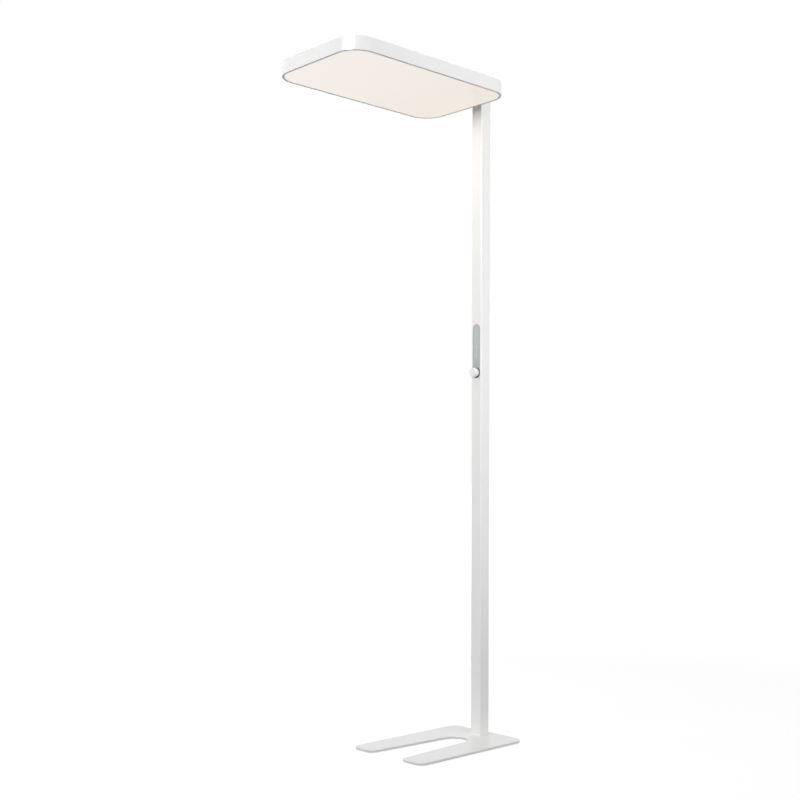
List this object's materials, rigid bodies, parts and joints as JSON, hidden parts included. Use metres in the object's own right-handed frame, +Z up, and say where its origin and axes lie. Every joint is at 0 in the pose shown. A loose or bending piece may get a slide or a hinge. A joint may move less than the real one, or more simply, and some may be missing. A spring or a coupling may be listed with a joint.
{
  "type": "floor lamp",
  "caption": "Tall office floor lamp: U-shaped base plate, square pole with a dimmer knob in a recessed panel, and a flat rounded light head held in front of the pole by a short arm.",
  "frame": {"origin": "on the floor, on the axis of the pole, at the middle of the pad under it", "axes": "+X from the pole to the tips of the prongs and of the head, +Y to the lamp's left seen from behind the pole, +Z up the pole"},
  "size_m": [0.703, 0.345, 1.95],
  "materials": {
    "steel_coat": "satin white powder coat on steel",
    "head_coat": "satin white powder coat on aluminium",
    "knob_white": "satin white moulded plastic",
    "panel_grey": "satin grey-green moulded plastic",
    "opal": "warm opal acrylic",
    "frosted_acrylic": "frosted acrylic",
    "clear_acrylic": "clear acrylic",
    "dark_rubber": "matte black rubber",
    "zinc_steel": "zinc plated steel",
    "bare_aluminium": "mill finished aluminium",
    "gland_plastic": "matte light grey nylon",
    "black_plastic": "matte black moulded plastic",
    "board": "green solder mask",
    "led_board": "white solder mask",
    "film_white": "matte white film",
    "foam": "matte grey foam",
    "lead_sheath": "matte grey flexible sheath"
  },
  "bodies": {
    "lamp": {"base_plate": "steel_coat", "pole_tube": "steel_coat", "head_frame": "head_coat", "diffuser_bezel": "head_coat", "top_cover": "head_coat", "pole_cap": "head_coat", "neck_arm": "head_coat", "arm_lid": "head_coat", "control_panel": "panel_grey", "diffuser": "opal", "uplight_window": "frosted_acrylic", "light_guide": "clear_acrylic", "indicator_pipes": "clear_acrylic", "base_glides": "dark_rubber", "foot_pad": "dark_rubber", "knob_seal": "dark_rubber", "gland_seal": "dark_rubber", "base_screws": "zinc_steel", "pole_screws": "zinc_steel", "pole_spigot": "zinc_steel", "board_screws": "zinc_steel", "encoder_nut": "zinc_steel", "pole_arm_bolts": "zinc_steel", "head_arm_bolts": "zinc_steel", "mount_rivets": "zinc_steel", "tray_screws": "zinc_steel", "cover_screws": "zinc_steel", "driver_screws": "zinc_steel", "pole_head_block": "bare_aluminium", "mount_block": "bare_aluminium", "chassis_tray": "bare_aluminium", "standoffs": "bare_aluminium", "gland_body": "gland_plastic", "gland_dome": "gland_plastic", "gland_nut": "gland_plastic", "panel_carrier": "black_plastic", "board_connector": "black_plastic", "encoder_body": "black_plastic", "terminal_block": "black_plastic", "control_board": "board", "edge_led_strips": "led_board", "uplight_boards": "led_board", "reflector_sheet": "film_white", "led_driver": "film_white", "guide_pads": "foam", "supply_lead": "lead_sheath", "head_lead": "lead_sheath", "driver_lead": "lead_sheath", "uplight_lead": "lead_sheath"},
    "rotor": {"encoder_rotor": "black_plastic"},
    "knob": {"encoder_shaft": "zinc_steel", "shaft_clip": "zinc_steel", "knob_cap": "knob_white"}
  },
  "joints": [
    {"name": "knob_turn", "type": "hinge", "parent": "lamp", "child": "rotor", "pos_m": [0.014, 0, 1.125], "axis": [1, 0, 0], "continuous": true},
    {"name": "knob_press", "type": "slide", "parent": "rotor", "child": "knob", "axis": [-1, 0, 0], "range_m": [0, 0.001], "stiffness_N_per_m": 1500, "springref_m": -0.002}
  ]
}
